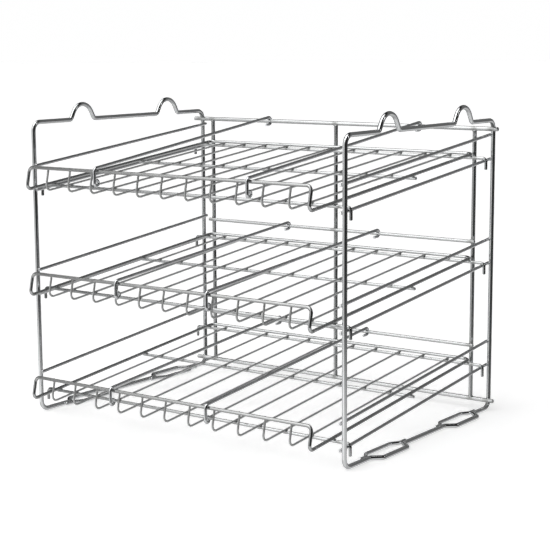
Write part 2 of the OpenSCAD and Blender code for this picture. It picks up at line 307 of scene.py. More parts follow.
def lip_centre(level):
    """Y and Z of the lip wire of a shelf, which leans back a little from the foot of the rim."""
    shelf = bpy.context.scene.rack_shelf
    low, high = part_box(f"{level}_shelf_rim")
    radius = shelf.rim_wire / 2
    straight = high.x - radius - shelf.lip_corner_radius
    ring = [v.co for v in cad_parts[f"{level}_shelf_rim"].data.vertices
            if v.co.y < (low.y + high.y) / 2 and abs(v.co.x) < straight + radius / 2]
    lip_y = (min(co.y for co in ring) + max(co.y for co in ring)) / 2
    foot_y = lip_y - shelf.lip_lean
    foot_z = high.z - radius - (high.y - radius - foot_y) * math.tan(rail_slope())
    return lip_y, foot_z + shelf.lip_height


# ---------------------------------------------------------------- wire bending


def deselect_all():
    if bpy.context.object and bpy.context.object.mode != "OBJECT":
        bpy.ops.object.mode_set(mode="OBJECT")
    bpy.ops.object.select_all(action="DESELECT")


class Wire:
    """A round wire, drawn by extruding and spinning the ring at its free end."""

    def __init__(self, name, start, direction, thickness, sides=16, closed=False):
        self.place = Vector(start)
        self.direction = Vector(direction).normalized()
        self.thickness = thickness
        self.closed = closed
        deselect_all()
        bpy.ops.mesh.primitive_circle_add(
            vertices=sides, radius=thickness / 2, location=self.place,
            rotation=self.direction.to_track_quat("Z", "X").to_euler())
        self.piece = bpy.context.object
        self.piece.name = self.piece.data.name = name
        bpy.ops.object.transform_apply(location=True, rotation=True, scale=True)
        bpy.ops.object.mode_set(mode="EDIT")
        bpy.ops.mesh.select_all(action="SELECT")
        if not closed:
            self.size_ring(1 - 2 * TIP)
            self.push(TIP * thickness)
            self.size_ring(1 / (1 - 2 * TIP))

    def size_ring(self, scale):
        bpy.ops.transform.resize(value=(scale,) * 3, center_override=self.place)

    def push(self, length):
        """Draws a straight stretch of this length."""
        step = self.direction * length
        bpy.ops.mesh.extrude_region_move(TRANSFORM_OT_translate={"value": step})
        self.place = self.place + step

    def line_to(self, point):
        """Draws a straight stretch as far as a point that lies ahead."""
        self.push((Vector(point) - self.place).dot(self.direction))

    def arc(self, centre, axis, angle):
        """Bends the wire round a centre, by the right-hand rule about axis."""
        centre, axis = Vector(centre), Vector(axis).normalized()
        steps = max(2, math.ceil(abs(angle) / BEND_STEP))
        # With no window, spin turns against the right-hand rule
        bpy.ops.mesh.spin(steps=steps, angle=angle, center=centre, axis=-axis)
        turn = Matrix.Rotation(angle, 3, axis)
        self.place = centre + turn @ (self.place - centre)
        self.direction = turn @ self.direction

    def finish(self):
        """Rounds off the free end, or joins it to the start, and closes the skin."""
        if not self.closed:
            self.direction = -self.direction
            self.place = self.place + self.direction * TIP * self.thickness
            bpy.ops.transform.translate(value=self.direction * TIP * self.thickness)
            self.direction = -self.direction
            self.push(TIP * self.thickness)
            self.size_ring(1 - 2 * TIP)
        bpy.ops.mesh.select_all(action="SELECT")
        bpy.ops.mesh.remove_doubles(threshold=1e-5)
        if not self.closed:
            bpy.ops.mesh.fill_holes(sides=0)
        bpy.ops.mesh.select_all(action="SELECT")
        bpy.ops.mesh.normals_make_consistent(inside=False)
        bpy.ops.object.mode_set(mode="OBJECT")
        bpy.ops.object.shade_smooth_by_angle(angle=SMOOTH_ANGLE)
        return self.piece


def bent_wire(name, points, radii, thickness, sides=16, closed=False):
    """One wire bent at every inner corner of a run of points, or at all of them when closed."""
    points = [Vector(p) for p in points]
    count = len(points)
    start = (points[-1] + points[0]) / 2 if closed else points[0]
    first = points[0] if closed else points[1]
    wire = Wire(name, start, first - start, thickness, sides, closed)
    for i in range(0 if closed else 1, count if closed else count - 1):
        corner = points[i]
        ahead = (points[(i + 1) % count] - corner).normalized()
        turn = wire.direction.angle(ahead)
        wire.line_to(corner - wire.direction * radii[i] * math.tan(turn / 2))
        axis = wire.direction.cross(ahead).normalized()
        wire.arc(wire.place + axis.cross(wire.direction) * radii[i], axis, turn)
    wire.line_to(start if closed else points[-1])
    return wire.finish()


def straight_wire(name, start, end, thickness, sides=16):
    return bent_wire(name, [start, end], [], thickness, sides)


def copy_of(piece, name, shift):
    """A copy of a piece with its own mesh, moved by shift."""
    twin = piece.copy()
    twin.data = piece.data.copy()
    twin.name = twin.data.name = name
    bpy.context.collection.objects.link(twin)
    twin.data.transform(Matrix.Translation(shift))
    return twin


def joined(pieces, name):
    """Several pieces as one."""
    deselect_all()
    for piece in pieces:
        piece.select_set(True)
    bpy.context.view_layer.objects.active = pieces[0]
    if len(pieces) > 1:
        bpy.ops.object.join()
    whole = bpy.context.object
    whole.name = whole.data.name = name
    return whole


def fit(piece, material, body=ROOT, nodes=()):
    """Gives a piece its material, hides the CAD parts that it stands in for, and hangs it on its body."""
    piece.data.materials.clear()
    piece.data.materials.append(material)
    if nodes:
        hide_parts(*nodes)
    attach(piece, body)


# ---------------------------------------------------------------- weld beads


def bead_master():
    """A weld bead one unit in radius: a lozenge with a squeezed-out rim."""
    deselect_all()
    bpy.ops.mesh.primitive_uv_sphere_add(segments=12, ring_count=6, radius=1, location=(0, 0, 0))
    bead = bpy.context.object
    bead.name = bead.data.name = "weld_bead"
    equator = 0.1
    for vertex in bead.data.vertices:
        vertex.select = abs(vertex.co.z) < equator
    for edge in bead.data.edges:
        edge.select = all(abs(bead.data.vertices[i].co.z) < equator for i in edge.vertices)
    for face in bead.data.polygons:
        face.select = False
    bpy.ops.object.mode_set(mode="EDIT")
    bpy.ops.transform.resize(value=(BEAD_RIM, BEAD_RIM, 1), center_override=(0, 0, 0))
    bpy.ops.object.mode_set(mode="OBJECT")
    bpy.ops.object.shade_smooth()
    return bead


def weld(beads, name, material):
    """Beads at a list of (place, along, across, radii), joined into one piece.

    along and across are the directions of the two wires, and the third radius is square to both.
    Radii are given as parts of the wires' own.
    """
    master = bead_master()
    rng = random.Random(name)
    copies = []
    for place, along, across, radii in beads:
        along = Vector(along).normalized()
        through = along.cross(across).normalized()
        across = through.cross(along)
        spread = [r * rng.uniform(*BEAD_SPREAD) for r in radii]
        axes = [axis * r for axis, r in zip((along, across, through), spread)]
        turn = Matrix([[axis[row] for axis in axes] + [place[row]] for row in range(3)] + [[0, 0, 0, 1]])
        bead = copy_of(master, "bead", (0, 0, 0))
        bead.data.transform(turn)
        if turn.determinant() < 0:
            bead.data.flip_normals()
        copies.append(bead)
    bpy.data.objects.remove(master)
    piece = joined(copies, name)
    fit(piece, material)
    return piece


# ---------------------------------------------------------------- shader maths


class Value:
    """A socket that adds Math nodes when it is used in an expression."""

    def __init__(self, tree, socket):
        self.tree = tree
        self.socket = socket

    def math(self, operation, *values):
        node = self.tree.nodes.new("ShaderNodeMath")
        node.operation = operation
        for slot, value in zip(node.inputs, values):
            if isinstance(value, Value):
                self.tree.links.new(value.socket, slot)
            else:
                slot.default_value = value
        return Value(self.tree, node.outputs[0])

    def __add__(self, other):
        return self.math("ADD", self, other)

    __radd__ = __add__

    def __sub__(self, other):
        return self.math("SUBTRACT", self, other)

    def __rsub__(self, other):
        return self.math("SUBTRACT", other, self)

    def __mul__(self, other):
        return self.math("MULTIPLY", self, other)

    __rmul__ = __mul__

    def __truediv__(self, other):
        return self.math("DIVIDE", self, other)

    def clamped(self):
        return self.math("MINIMUM", self.math("MAXIMUM", self, 0.0), 1.0)

    def bump(self, middle_at, width):
        """1 where the value is middle_at, falling off to 0 at width on either side."""
        away = self.math("ABSOLUTE", (self - middle_at) / width)
        near = (1 - away).clamped()
        return near * near * (3 - 2 * near)

    def ramp(self, start, end):
        """Rises smoothly from 0 where the value is start to 1 where it is end."""
        share = ((self - start) / (end - start)).clamped()
        return share * share * (3 - 2 * share)

    def largest(self, other):
        return self.math("MAXIMUM", self, other)

    def repeating(self, period):
        """Distance to the nearest whole multiple of period."""
        return self.math("WRAP", self, period / 2, -period / 2)


class Nodes:
    """A node tree under construction."""

    def __init__(self, tree):
        self.tree = tree

    def node(self, kind, settings=None, inputs=None, output=0):
        """Adds a node, sets its settings, then its sockets, and returns one of its outputs."""
        node = self.tree.nodes.new(kind)
        for key, value in (settings or {}).items():
            setattr(node, key, value)
        for key, value in (inputs or {}).items():
            if isinstance(value, Value):
                self.tree.links.new(value.socket, node.inputs[key])
            else:
                node.inputs[key].default_value = value
        return Value(self.tree, node.outputs[output])

    def split(self, vector):
        """X, Y and Z of a vector."""
        split = self.tree.nodes.new("ShaderNodeSeparateXYZ")
        self.tree.links.new(vector.socket, split.inputs[0])
        return [Value(self.tree, out) for out in split.outputs]


class Finish(Nodes):
    """A material under construction."""

    def __init__(self, name):
        self.material = bpy.data.materials.new(name)
        self.material.use_nodes = True
        super().__init__(self.material.node_tree)
        self.shader = self.tree.nodes["Principled BSDF"]

    def place(self):
        """Object coordinates."""
        return self.node("ShaderNodeTexCoord", output="Object")

    def axes(self):
        """X, Y and Z of the surface."""
        return self.split(self.place())

    def noise(self, scale, stretch=(1, 1, 1), detail=2.0):
        """Noise with scale features to the metre, pulled out along an axis by a small stretch."""
        vector = self.node("ShaderNodeMapping", None, {"Vector": self.place(), "Scale": stretch})
        return self.node(
            "ShaderNodeTexNoise", None,
            {"Vector": vector, "Scale": scale, "Detail": detail, "Roughness": 0.55})

    def mix(self, factor, first, second):
        return self.node(
            "ShaderNodeMix", {"data_type": "RGBA"},
            {"Factor": factor, "A": first, "B": second}, output="Result")

    def drive(self, **sockets):
        """Sets or links the shader's own sockets. An underscore stands for a space."""
        for key, value in sockets.items():
            slot = self.shader.inputs[key.replace("_", " ")]
            if isinstance(value, Value):
                self.tree.links.new(value.socket, slot)
            else:
                slot.default_value = value
        return self.material


def chrome(name, drawn_along, dull=None, roughness=0.09, lumps=0.0, tint=None):
    """Bright chrome on drawn wire.

    drawn_along is the axis that the drawing lines follow. dull(finish) gives the mask of the places
    where the plating is duller: the corners of the welds, or where the wire is rubbed. lumps is how
    uneven the surface is, and tint a colour other than that of clean plating.
    """
    finish = Finish(name)
    colours = bpy.context.scene.rack_finish
    # For the slats this is their paler colour, which is painted light that brightens them.
    clean = (*(tint or colours.chrome), 1)
    dark = (*colours.chrome_dull, 1)
    stretch = [LINE_STRETCH if axis == drawn_along else 1.0 for axis in range(3)]
    cloud = finish.noise(CLOUD_SCALE, detail=3.0)
    lines = finish.noise(LINE_SCALE, stretch)
    specks = ((finish.noise(SPECK_SCALE) - SPECK_LEVEL) * SPECK_EDGE).clamped()
    tone = specks * SPECK_TONE + (cloud - 0.5) * CLOUD_TONE
    rough = roughness + cloud * CLOUD_ROUGHNESS + lines * LINE_ROUGHNESS + specks * SPECK_ROUGHNESS
    if dull:
        corners = dull(finish)
        tone = tone + corners * WELD_TONE
        rough = rough + corners * WELD_ROUGHNESS
    height = lines * LINE_HEIGHT + specks * SPECK_HEIGHT + cloud * lumps
    bump = finish.node(
        "ShaderNodeBump", None,
        {"Strength": BUMP_STRENGTH + LUMP_STRENGTH * lumps, "Distance": BUMP_DEPTH, "Height": height})
    return finish.drive(
        Base_Color=finish.mix(tone.clamped(), clean, dark),
        Metallic=1.0,
        Roughness=rough.clamped(),
        Normal=bump)


def overlaid(bands):
    """One mask from several."""
    mask = bands[0]
    for band in bands[1:]:
        mask = mask.largest(band)
    return mask


def level_welds(finish, planes, width):
    """Mask of the welds of the sloping rails: bands at heights above the lowest rail's plane."""
    _, along, up = finish.axes()
    pitch = middle("left_top_shelf_rail", 2) - middle("left_middle_shelf_rail", 2)
    slope = math.tan(rail_slope())
    base_y, base_z = middle("left_bottom_shelf_rail", 1), middle("left_bottom_shelf_rail", 2)
    height = up - base_z - (along - base_y) * slope
    return overlaid([(height - plane).repeating(pitch).bump(0, width) for plane in planes])


def stations(finish, axis, places, width):
    """Mask of bands at places along an axis."""
    value = finish.axes()[axis]
    return overlaid([value.bump(place, width) for place in places])


def frame_welds(finish):
    gap = middle("left_top_guard_rail", 2) - middle("left_top_shelf_rail", 2)
    return level_welds(finish, (0, gap), width=0.005)


def rail_ends(finish):
    low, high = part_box("left_top_shelf_rail")
    return stations(finish, 1, (low.y, high.y), width=0.008)


def slat_welds(finish):
    places = [middle(f"top_shelf_{cross}_cross", 1) for cross in CROSSES]
    return stations(finish, 1, [lip_centre("top")[0], *places], width=0.004)


def cross_welds(finish):
    low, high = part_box("top_shelf_slats")
    shelf = bpy.context.scene.rack_shelf
    pitch = (high.x - low.x - shelf.slat_wire) / (shelf.slat_count - 1)
    return finish.axes()[0].repeating(pitch).bump(0, width=0.004)


def panel_rail_welds(finish):
    uprights = [middle(f"back_{side}_upright", 0) for side in ("left", "middle", "right")]
    frames = [SIDES[side] * abs(frame_x()) for side in SIDES]
    return stations(finish, 0, uprights + frames, width=0.007)


def panel_upright_welds(finish):
    rails = ("top_rail", "middle_divider_rail", "bottom_divider_rail", "bottom_rail")
    return stations(finish, 2, [middle(f"back_{rail}", 2) for rail in rails], width=0.007)


def divider_wear(finish):
    return stations(finish, 1, (lip_centre("top")[0], middle("back_top_rail", 1)), width=0.006)


def material(name, *args, **kwargs):
    """The named chrome, made the first time it is asked for."""
    return bpy.data.materials.get(name) or chrome(name, *args, **kwargs)


def frame_chrome():
    return material("frame_chrome", 2, frame_welds, roughness=0.08)


def rail_chrome():
    return material("rail_chrome", 1, rail_ends, roughness=0.09)


def rim_chrome():
    return material("rim_chrome", 1, slat_welds, roughness=0.08)


# The slats' chrome: its paler colour is painted light that brightens them, and its higher roughness is
# real.
def slat_chrome_painted_light():
    tint = bpy.context.scene.rack_finish.slat_chrome_painted_light
    return material("slat_chrome_painted_light", 1, slat_welds, roughness=0.36, tint=tint)


def cross_chrome():
    return material("cross_chrome", 0, cross_welds, roughness=0.10)


def panel_rail_chrome():
    return material("panel_rail_chrome", 0, panel_rail_welds, roughness=0.09)


def panel_upright_chrome():
    return material("panel_upright_chrome", 2, panel_upright_welds, roughness=0.09)


def divider_chrome():
    return material("divider_chrome", 1, divider_wear, roughness=0.08)


def weld_chrome():
    return material("weld_chrome", 1, None, roughness=0.2, lumps=1.5)


# ---------------------------------------------------------------- side frames


def frame_x():
    """Distance of a side frame's centre line from the middle of the rack."""
    low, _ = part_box("right_frame_loop")
    return low.x + bpy.context.scene.rack_frame.wire / 2


def eye_centres():
    """Y of the two eyes, which is that of the loops above them too."""
    half = bpy.context.scene.rack_frame.eye_half_length
    low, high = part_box("right_frame_eyes")
    return low.y + half, high.y - half


def frame_loop(side):
    """One closed wire with two stacking loops on top and two half eyes in its bottom rail."""
    size = bpy.context.scene.rack_frame
    low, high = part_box(f"{side}_frame_loop")
    half = size.wire / 2
    x = SIDES[side] * frame_x()
    out = low.x + half if side == "left" else high.x - half
    floor = low.z + half
    peak = size.loop_half_width * math.tan(size.loop_leg_angle)
    crown = size.loop_radius / math.cos(size.loop_leg_angle) - size.loop_radius
    top = high.z - half - peak + crown
    front, rear = low.y + half, high.y - half
    foot = size.eye_half_flat + size.eye_slant
    run = [(x, front, floor, size.corner_radius), (x, front, top, size.corner_radius)]
    for centre in eye_centres():
        run += [
            (x, centre - size.loop_half_width, top, size.loop_foot_radius),
            (x, centre, top + peak, size.loop_radius),
            (x, centre + size.loop_half_width, top, size.loop_foot_radius),
        ]
    run += [(x, rear, top, size.corner_radius), (x, rear, floor, size.corner_radius)]
    for centre in reversed(eye_centres()):
        for reach, place in ((foot, x), (size.eye_half_flat, out), (-size.eye_half_flat, out), (-foot, x)):
            run.append((place, centre + reach, floor, size.eye_bend_radius))
    piece = bent_wire(
        f"{side}_frame_wire", [p[:3] for p in run], [p[3] for p in run], size.wire, sides=20, closed=True)
    fit(piece, frame_chrome(), nodes=[f"{side}_frame_loop"])


def frame_eyes(side):
    """The two short wires that close the eyes on the inner side of the bottom rail."""
    size = bpy.context.scene.rack_frame
    low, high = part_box(f"{side}_frame_eyes")
    half = size.eye_wire / 2
    beside, inner = (low.x + half, high.x - half) if side == "left" else (high.x - half, low.x + half)
    z = (low.z + high.z) / 2
    foot = size.eye_half_flat + size.eye_slant
    wires = []
    for centre in eye_centres():
        outline = (
            (-size.eye_half_length, beside), (-foot, beside), (-size.eye_half_flat, inner),
            (size.eye_half_flat, inner), (foot, beside), (size.eye_half_length, beside))
        radii = [0, *[size.eye_bend_radius] * 4, 0]
        wires.append(bent_wire("eye", [(x, centre + y, z) for y, x in outline], radii, size.eye_wire))
    piece = joined(wires, f"{side}_eye_wires")
    fit(piece, frame_chrome(), nodes=[f"{side}_frame_eyes"])


def sloping_rail(node):
    """A straight rail that climbs towards the back."""
    thickness = bpy.context.scene.rack_frame.rail_wire
    low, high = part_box(node)
    ahead = along_slope()
    centre = (low + high) / 2
    half = ahead * ((high.y - low.y - thickness * ahead.z) / 2 / ahead.y)
    piece = straight_wire(f"{node}_wire", centre - half, centre + half, thickness)
    fit(piece, rail_chrome(), nodes=[node])


def rail_welds(side):
    """Beads where the rails meet the uprights, and seams where the eye wires lie on the bottom rail."""
    size = bpy.context.scene.rack_frame
    low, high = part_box(f"{side}_frame_loop")
    sign = SIDES[side]
    contact = sign * (frame_x() - size.wire / 2 + WELD_SINK / 2)
    slope = math.tan(rail_slope())
    small, big = size.rail_wire / 2, size.wire / 2
    beads = []
    for level in LEVELS:
        for kind in ("guard", "shelf"):
            node = f"{side}_{level}_{kind}_rail"
            for y in (low.y + big, high.y - big):
                z = middle(node, 2) + (y - middle(node, 1)) * slope
                beads.append(((contact, y, z), Z, Y, (1.1 * small, 0.75 * big, 0.5 * small)))
    tail = size.eye_half_length - size.eye_half_flat - size.eye_slant
    seam = size.eye_half_flat + size.eye_slant + tail * 0.58
    for centre in eye_centres():
        for end in (-seam, seam):
            place = (contact, centre + end, low.z + big)
            beads.append((place, Y, Z, (0.3 * tail, 0.7 * big, 0.6 * big)))
    weld(beads, f"{side}_frame_welds", weld_chrome())


# ---------------------------------------------------------------- shelves


def shelf_rim(level):
    """Closed rim of a shelf: its sides follow the slope and its front rises into the lip."""
    size = bpy.context.scene.rack_shelf
    low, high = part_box(f"{level}_shelf_rim")
    half = size.rim_wire / 2
    left, right = low.x + half, high.x - half
    rear, rear_z = high.y - half, high.z - half
    lip, lip_z = lip_centre(level)
    foot, foot_z = lip - size.lip_lean, lip_z - size.lip_height
    points = [
        (left, rear, rear_z), (left, foot, foot_z), (left, lip, lip_z),
        (right, lip, lip_z), (right, foot, foot_z), (right, rear, rear_z)]
    front = (size.foot_radius, size.lip_corner_radius)
    radii = [size.rim_rear_radius, *front, *reversed(front), size.rim_rear_radius]
    piece = bent_wire(f"{level}_shelf_rim_wire", points, radii, size.rim_wire, sides=18, closed=True)
    fit(piece, rim_chrome(), nodes=[f"{level}_shelf_rim"])


def lip_up():
    """Direction of the front of a rim, from its foot to the lip."""
    size = bpy.context.scene.rack_shelf
    return Vector((0, size.lip_lean, size.lip_height)).normalized()


def slat_joint(level):
    """Centre of a slat where it is welded behind the lip wire, at X = 0."""
    size = bpy.context.scene.rack_shelf
    behind = lip_up().cross(X)
    return Vector((0, *lip_centre(level))) + behind * ((size.rim_wire + size.slat_wire) / 2 - WELD_SINK)


def slat_places(level):
    """X of each slat of a shelf."""
    size = bpy.context.scene.rack_shelf
    low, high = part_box(f"{level}_shelf_slats")
    first, last = low.x + size.slat_wire / 2, high.x - size.slat_wire / 2
    return [first + (last - first) * i / (size.slat_count - 1) for i in range(size.slat_count)]


def shelf_slats(level):
    """Slats, each down the inside of the lip and back along the slope: one is bent and copied."""
    size = bpy.context.scene.rack_shelf
    _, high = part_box(f"{level}_shelf_slats")
    half = size.slat_wire / 2
    ahead, up = along_slope(), lip_up()
    places = slat_places(level)
    end = Vector((places[0], high.y - half * ahead.z, high.z - half * ahead.y))
    joint = X * places[0] + slat_joint(level)
    top = joint + up * (size.rim_wire / 2 - size.slat_top_inset)
    # Where the line down the lip meets the line along the slope
    above = X.cross(ahead)
    foot = joint - up * ((joint - end).dot(above) / up.dot(above))
    first = bent_wire("slat", [top, foot, end], [0, size.slat_bend_radius, 0], size.slat_wire, sides=12)
    slats = [first] + [copy_of(first, "slat", (x - places[0], 0, 0)) for x in places[1:]]
    piece = joined(slats, f"{level}_shelf_slat_wires")
    fit(piece, slat_chrome_painted_light(), nodes=[f"{level}_shelf_slats"])


def hooked_cross(level, cross):
    """Cross wire whose ends hook over both shelf rails."""
    size = bpy.context.scene.rack_shelf
    node = f"{level}_shelf_{cross}_cross"
    low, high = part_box(node)
    half = size.cross_wire / 2
    y, z = middle(node, 1), high.z - half
    left, right = low.x + half, high.x - half
    points = [(left, y, low.z), (left, y, z), (right, y, z), (right, y, low.z)]
    piece = bent_wire(f"{node}_wire", points, [0, size.hook_radius, size.hook_radius, 0], size.cross_wire)
    fit(piece, cross_chrome(), nodes=[node])


def plain_cross(level):
    """Cross wire that ends just past the rim."""
    node = f"{level}_shelf_middle_cross"
    low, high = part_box(node)
    y, z = middle(node, 1), middle(node, 2)
    piece = straight_wire(
        f"{node}_wire", (low.x, y, z), (high.x, y, z), bpy.context.scene.rack_shelf.cross_wire)
    fit(piece, cross_chrome(), nodes=[node])


def shelf_welds(level):
    """Beads where the slats and the rim cross the cross wires, and where the slats meet the lip."""
    size = bpy.context.scene.rack_shelf
    ahead = along_slope()
    above = X.cross(ahead)
    cross, slat, rim = size.cross_wire / 2, size.slat_wire / 2, size.rim_wire / 2
    low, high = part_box(f"{level}_shelf_rim")
    beads = []
    for name in CROSSES:
        node = f"{level}_shelf_{name}_cross"
        centre = Vector((0, middle(node, 1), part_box(node)[1].z - cross))
        contact = centre + above * (cross - WELD_SINK / 2)
        for x in slat_places(level):
            beads.append((contact + X * x, ahead, X, (1.1 * cross, 1.2 * slat, 0.5 * slat)))
        for x in (low.x + rim, high.x - rim):
            beads.append((contact + X * x, ahead, X, (1.1 * cross, 1.1 * rim, 0.5 * cross)))
    up = lip_up()
    contact = slat_joint(level) - up.cross(X) * (slat - WELD_SINK / 2)
    for x in slat_places(level):
        beads.append((contact + X * x, X, up, (1.2 * slat, 1.0 * rim, 0.5 * slat)))
    weld(beads, f"{level}_shelf_welds", weld_chrome())


# ---------------------------------------------------------------- back panel


def panel_wires():
    """Top and bottom rails, the uprights between them, and the rails that the dividers hang on."""
    size = bpy.context.scene.rack_panel
    for rail, thickness in (
            ("top_rail", size.wire),
            ("bottom_rail", size.wire),
            ("middle_divider_rail", size.divider_rail_wire),
            ("bottom_divider_rail", size.divider_rail_wire)):
        node = f"back_{rail}"
        low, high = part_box(node)
        y, z = middle(node, 1), middle(node, 2)
        piece = straight_wire(f"{node}_wire", (low.x, y, z), (high.x, y, z), thickness, sides=18)
        fit(piece, panel_rail_chrome(), nodes=[node])
    for side in ("left", "middle", "right"):
        node = f"back_{side}_upright"
        low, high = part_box(node)
        x, y = middle(node, 0), middle(node, 1)
        piece = straight_wire(f"{node}_wire", (x, y, low.z), (x, y, high.z), size.wire, sides=18)
        fit(piece, panel_upright_chrome(), nodes=[node])


def panel_welds():
    """Collars where the uprights butt against the rails, and beads at the crossings."""
    size = bpy.context.scene.rack_panel
    big, small = size.wire / 2, size.divider_rail_wire / 2
    panel_y = middle("back_top_rail", 1)
    beads = []
    for side in ("left", "middle", "right"):
        x = middle(f"back_{side}_upright", 0)
        low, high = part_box(f"back_{side}_upright")
        for z in (low.z, high.z):
            beads.append(((x, panel_y, z), X, Y, (1.25 * big, 1.02 * big, 0.5 * big)))
        for rail in ("middle", "bottom"):
            z = middle(f"back_{rail}_divider_rail", 2)
            contact = panel_y - big + WELD_SINK / 2
            beads.append(((x, contact, z), X, Z, (1.1 * big, 1.05 * small, 0.5 * small)))
    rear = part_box("right_frame_loop")[1].y - bpy.context.scene.rack_frame.wire
    for rail in ("top", "bottom"):
        for sign in SIDES.values():
            place = (sign * frame_x(), rear, middle(f"back_{rail}_rail", 2))
            beads.append((place, X, Z, (1.1 * big, 1.05 * big, 0.5 * big)))
    weld(beads, "back_panel_welds", weld_chrome())


# ---------------------------------------------------------------- dividers


def end_middle(node, y, reach):
    """Middle of a node's X over the stretch that lies within reach of y."""
    xs = [v.co.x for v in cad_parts[node].data.vertices if abs(v.co.y - y) < reach]
    return (min(xs) + max(xs)) / 2


def divider(level, side):
    """Rod that rests on the lip, curls under it in front and hooks over a rail behind."""
    size = bpy.context.scene.rack_divider
    node = f"{level}_{side}_divider"
    hang = "back_top_rail" if level == "top" else f"back_{level}_divider_rail"
    hang_low, hang_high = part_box(hang)
    lip, lip_z = lip_centre(level)
    far_y, far_z = middle(hang, 1), middle(hang, 2)
    reach_in = 0.004
    low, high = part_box(node)
    near = Vector((end_middle(node, low.y, reach_in), low.y, 0))
    far = Vector((end_middle(node, high.y, reach_in), high.y, 0))
    ahead = (far - near).normalized()
    origin = near + ahead * ((lip - near.y) / ahead.y) + Z * lip_z
    clockwise = Z.cross(ahead)

    def at(along, up):
        return origin + ahead * along + Z * up

    length = (far_y - lip) / ahead.y
    drop = far_z - lip_z
    rest = bpy.context.scene.rack_shelf.rim_wire / 2 + size.wire / 2 + size.gap
    wrap = (hang_high.z - hang_low.z) / 2 + size.wire / 2 + size.gap
    tilt = math.atan2(drop, length) + math.asin((wrap - rest) / math.hypot(length, drop))
    # The curl opens upwards behind the riser, and the wire is drawn from its inner end
    curl = at(-size.curl_reach + size.curl_radius, -size.curl_drop)
    inner = size.curl_turn - math.pi
    start = curl + ahead * size.curl_radius * math.cos(inner) + Z * size.curl_radius * math.sin(inner)
    away = ahead * math.sin(inner) - Z * math.cos(inner)
    wire = Wire(f"{node}_wire", start, away, size.wire)
    wire.arc(curl, clockwise, size.curl_turn)
    nose_z = (rest - size.curl_reach * math.sin(tilt)) / math.cos(tilt)
    turn = math.pi / 2 - tilt
    wire.line_to(at(-size.curl_reach, nose_z - size.nose_radius * math.tan(turn / 2)))
    wire.arc(wire.place + ahead * size.nose_radius, clockwise, turn)
    heel = at(length - wrap * math.sin(tilt), drop + wrap * math.cos(tilt))
    wire.line_to(heel)
    wire.arc(at(length, drop), clockwise, math.pi + tilt)
    wire.line_to(at(length - size.tail_length, drop - wrap))
    fit(wire.finish(), divider_chrome(), node, [node])


# ---------------------------------------------------------------- stage


def make_camera():
    stage = bpy.context.scene.rack_stage
    data = bpy.data.cameras.new("camera")
    data.lens = stage.camera_lens
    data.clip_start, data.clip_end = 0.05, 200
    camera = bpy.data.objects.new("camera", data)
    bpy.context.collection.objects.link(camera)
    turn = (
        Matrix.Rotation(stage.camera_azimuth, 4, "Z")
        @ Matrix.Rotation(math.pi / 2 - stage.camera_elevation, 4, "X")
        @ Matrix.Rotation(stage.camera_roll, 4, "Z"))
    camera.matrix_world = Matrix.Translation(stage.camera_place) @ turn
    bpy.context.scene.camera = camera


def make_floor():
    stage = bpy.context.scene.rack_stage
    deselect_all()
    bpy.ops.mesh.primitive_circle_add(vertices=64, radius=stage.floor_radius, fill_type="NGON")
    floor = bpy.context.object
    floor.name = floor.data.name = "floor"
    finish = Finish("floor_paper")
    fibre = finish.noise(FIBRE_SCALE, detail=3.0)
    darker = tuple(0.9 * c for c in stage.floor)
    shade = finish.mix(fibre * FIBRE_TONE, (*stage.floor, 1), (*darker, 1))
    floor.data.materials.append(finish.drive(
        Base_Color=shade, Roughness=0.7, Specular_IOR_Level=0.1,
        Emission_Color=(1, 1, 1, 1), Emission_Strength=stage.floor_glow))
    floor.visible_glossy = False


def make_backdrop():
    """A pale dome that only the camera sees, so that the studio's own light and dark shape the chrome."""
    stage = bpy.context.scene.rack_stage
    deselect_all()
    bpy.ops.mesh.primitive_uv_sphere_add(segments=48, ring_count=24, radius=stage.floor_radius * DOME_SHARE)
    dome = bpy.context.object
    dome.name = dome.data.name = "backdrop"
    bpy.ops.object.mode_set(mode="EDIT")
    bpy.ops.mesh.select_all(action="SELECT")
    bpy.ops.mesh.bisect(plane_co=(0, 0, -1), plane_no=(0, 0, 1), clear_inner=True)
    bpy.ops.object.mode_set(mode="OBJECT")
    finish = Finish("backdrop_paper")
    low_colour, high_colour = (1, 1, 1, 1), (0.93, 0.94, 0.95, 1)
    fade = (finish.axes()[2] / stage.floor_radius).clamped()
    glow = finish.mix(fade, low_colour, high_colour)
    dome.data.materials.append(finish.drive(
        Base_Color=(0, 0, 0, 1), Specular_IOR_Level=0.0, Emission_Color=glow, Emission_Strength=1.0))
    dome.visible_glossy = dome.visible_diffuse = dome.visible_shadow = dome.visible_transmission = False


def softbox(name, place, target, width, height, power):
    """A rectangular soft light that faces a target."""
    data = bpy.data.lights.new(name, "AREA")
    data.shape = "RECTANGLE"
    data.size, data.size_y = width, height
    data.energy = power
    light = bpy.data.objects.new(name, data)
    bpy.context.collection.objects.link(light)
    aim = (Vector(target) - Vector(place)).to_track_quat("-Z", "Y").to_matrix().to_4x4()
    light.matrix_world = Matrix.Translation(place) @ aim


def make_lights():
    stage = bpy.context.scene.rack_stage
    softness, tilt_back, tilt_left = math.radians(60), math.radians(12), math.radians(-14)
    sun = bpy.data.lights.new("overhead", "SUN")
    sun.energy = stage.sun
    sun.angle = softness
    overhead = bpy.data.objects.new("overhead", sun)
    overhead.rotation_euler = (tilt_back, tilt_left, 0)
    bpy.context.collection.objects.link(overhead)
    centre = (0, 0, 0.18)
    softbox("left_softbox", (-1.35, -2.1, 0.95), centre, width=0.5, height=1.4, power=1.5)
    softbox("right_softbox", (2.4, 0.9, 1.6), centre, width=0.15, height=1.0, power=3)


